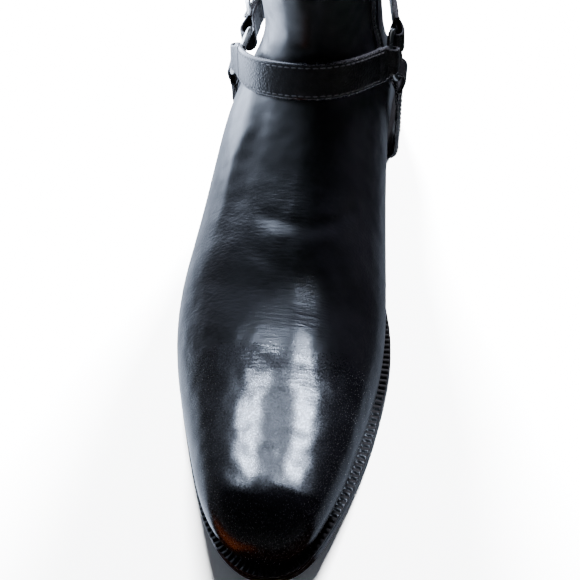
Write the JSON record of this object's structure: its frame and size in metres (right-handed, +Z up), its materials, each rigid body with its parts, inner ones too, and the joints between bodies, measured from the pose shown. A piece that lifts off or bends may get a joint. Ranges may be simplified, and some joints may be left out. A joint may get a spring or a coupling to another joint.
{
  "type": "ankle boot",
  "caption": "Black glossy leather ankle boot for the right foot, with an almond toe, ring and strap harness and an inner side zip.",
  "frame": {"origin": "centre of the boot's bounding box, on the floor plane under the sole", "axes": "+Z up from the floor, -Y towards the toe, +X towards the wearer's other foot (medial side)"},
  "size_m": [0.101, 0.314, 0.1713],
  "materials": {
    "calf_leather": "glossy near-black calf with fine grain",
    "strap_leather": "black pebbled strap leather, half gloss",
    "insole_leather": "smooth tan lining leather, matte",
    "sole_leather": "dark edge-dressed sole leather, half gloss",
    "rubber": "black matte rubber",
    "plated_steel": "polished nickel-plated steel",
    "zip_tape": "woven red-brown zip tape"
  },
  "bodies": {
    "boot": {"upper": "calf_leather", "insole": "insole_leather", "welt": "sole_leather", "outsole": "sole_leather", "heel_lift_1": "sole_leather", "heel_lift_2": "sole_leather", "heel_lift_3": "sole_leather", "heel_lift_4": "sole_leather", "heel_top_piece": "rubber", "ring_medial": "plated_steel", "ring_lateral": "plated_steel", "strap_front": "strap_leather", "strap_rear": "strap_leather", "strap_under": "strap_leather", "buckle_frame": "plated_steel", "buckle_prong": "plated_steel", "keeper_loop": "strap_leather", "zip_tape": "zip_tape", "zip_teeth": "plated_steel", "zip_slider": "plated_steel"},
    "pull_tab": {"zip_pull_tab": "plated_steel"}
  },
  "joints": [
    {"name": "pull_tab_swing", "type": "hinge", "parent": "boot", "child": "pull_tab", "pos_m": [0.0408, 0.077, 0.153], "axis": [0, -1, 0], "range_deg": [0, 150]}
  ]
}
